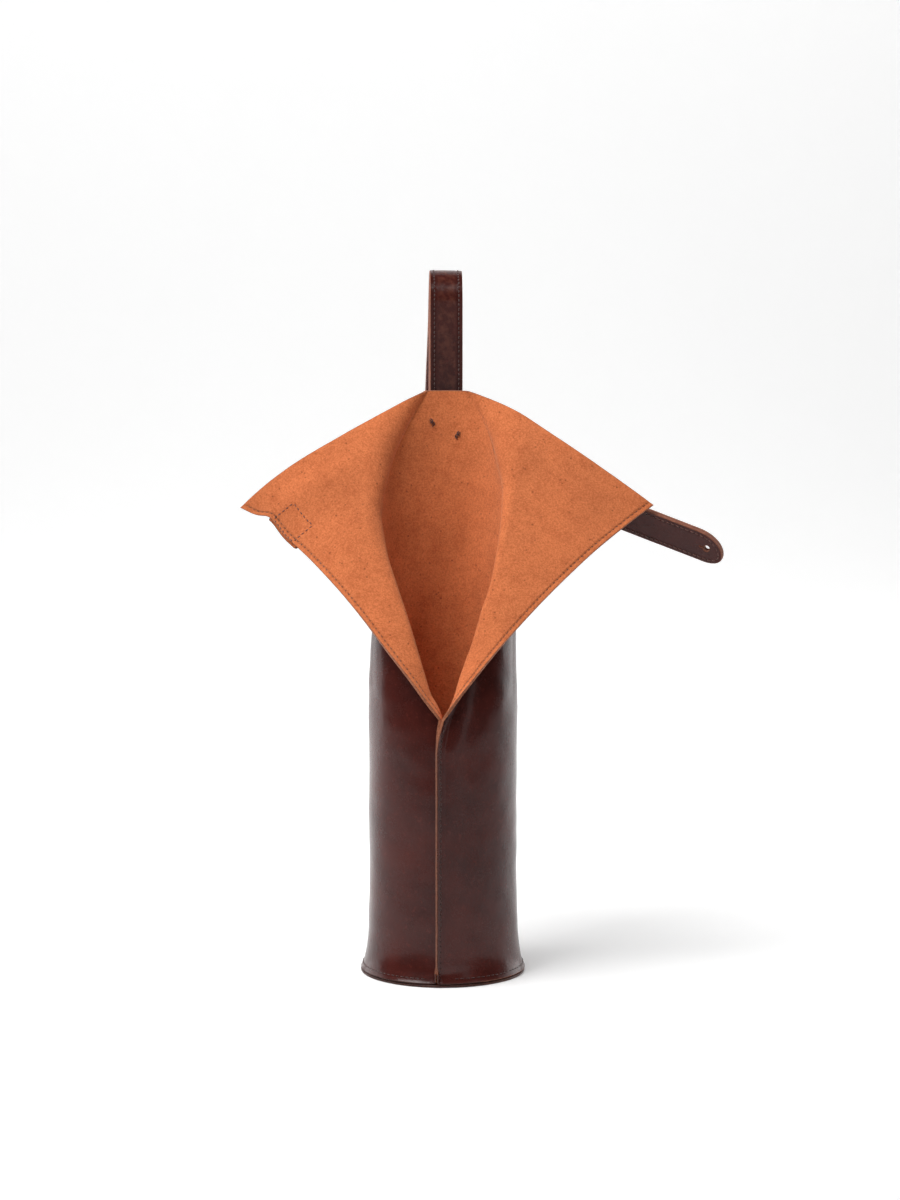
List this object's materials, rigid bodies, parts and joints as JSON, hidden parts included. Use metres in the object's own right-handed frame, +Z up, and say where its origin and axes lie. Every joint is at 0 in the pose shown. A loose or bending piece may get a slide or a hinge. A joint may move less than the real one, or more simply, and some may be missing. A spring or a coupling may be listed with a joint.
{
  "type": "leather bottle carrier",
  "caption": "Upright leather bottle carrier: a stitched tube that opens into folded lapels, with a loop handle at the back and a button closing strap.",
  "frame": {"origin": "centre of the underside of the round base, on the floor", "axes": "+Z up; the front seam faces -Y; +X to the right, where the closing strap points"},
  "size_m": [0.2985, 0.1608, 0.4293],
  "materials": {
    "brown_leather": "glossy dark red-brown grain",
    "suede": "napped orange-tan flesh side",
    "raw_edge": "raw cut edge",
    "thread": "waxed dark thread",
    "stud_metal": "polished"
  },
  "bodies": {
    "carrier": {"body_tube": "brown_leather", "throat": "brown_leather", "back_panel": "brown_leather", "seam_fold_left": "raw_edge", "seam_fold_right": "raw_edge", "seam_thread": "thread", "base_disc": "brown_leather", "base_stiffener": "suede", "base_thread": "thread", "handle_end": "brown_leather", "handle_end_thread": "thread", "strap_end": "brown_leather"},
    "left_flap": {"left_lapel": "suede", "left_lapel_thread": "thread", "stud_tab": "brown_leather", "stud_tab_thread": "thread", "stud_post": "stud_metal", "stud_ball": "stud_metal"},
    "right_flap": {"right_lapel": "suede", "right_lapel_thread": "thread"},
    "handle": {"handle_outer": "brown_leather", "handle_inner": "brown_leather", "handle_thread": "thread"},
    "strap": {"strap_run_outer": "brown_leather", "strap_run_inner": "brown_leather", "strap_run_thread": "thread"},
    "strap_tip": {"strap_tip_outer": "brown_leather", "strap_tip_inner": "brown_leather", "strap_tip_thread": "thread"}
  },
  "joints": [
    {"name": "left_flap_fold", "type": "hinge", "parent": "carrier", "child": "left_flap", "pos_m": [-0.01, -0.0485, 0.181], "axis": [-0.2794, 0.4587, 0.8435], "range_deg": [0, 138]},
    {"name": "right_flap_fold", "type": "hinge", "parent": "carrier", "child": "right_flap", "pos_m": [0.012, -0.0485, 0.181], "axis": [-0.2514, -0.452, -0.8559], "range_deg": [0, 138]},
    {"name": "handle_fold", "type": "hinge", "parent": "carrier", "child": "handle", "pos_m": [0.001, 0.07134, 0.3361], "axis": [-1, 0, 0], "range_deg": [0, 120]},
    {"name": "strap_swing", "type": "hinge", "parent": "carrier", "child": "strap", "pos_m": [0.01769, 0.05819, 0.31378], "axis": [0.3746, 0.053, 0.9257], "range_deg": [0, 75]},
    {"name": "strap_tip_fold", "type": "hinge", "parent": "strap", "child": "strap_tip", "pos_m": [0.1116, 0.04183, 0.27671], "axis": [0.3746, 0.053, 0.9257], "range_deg": [-10, 60]}
  ]
}
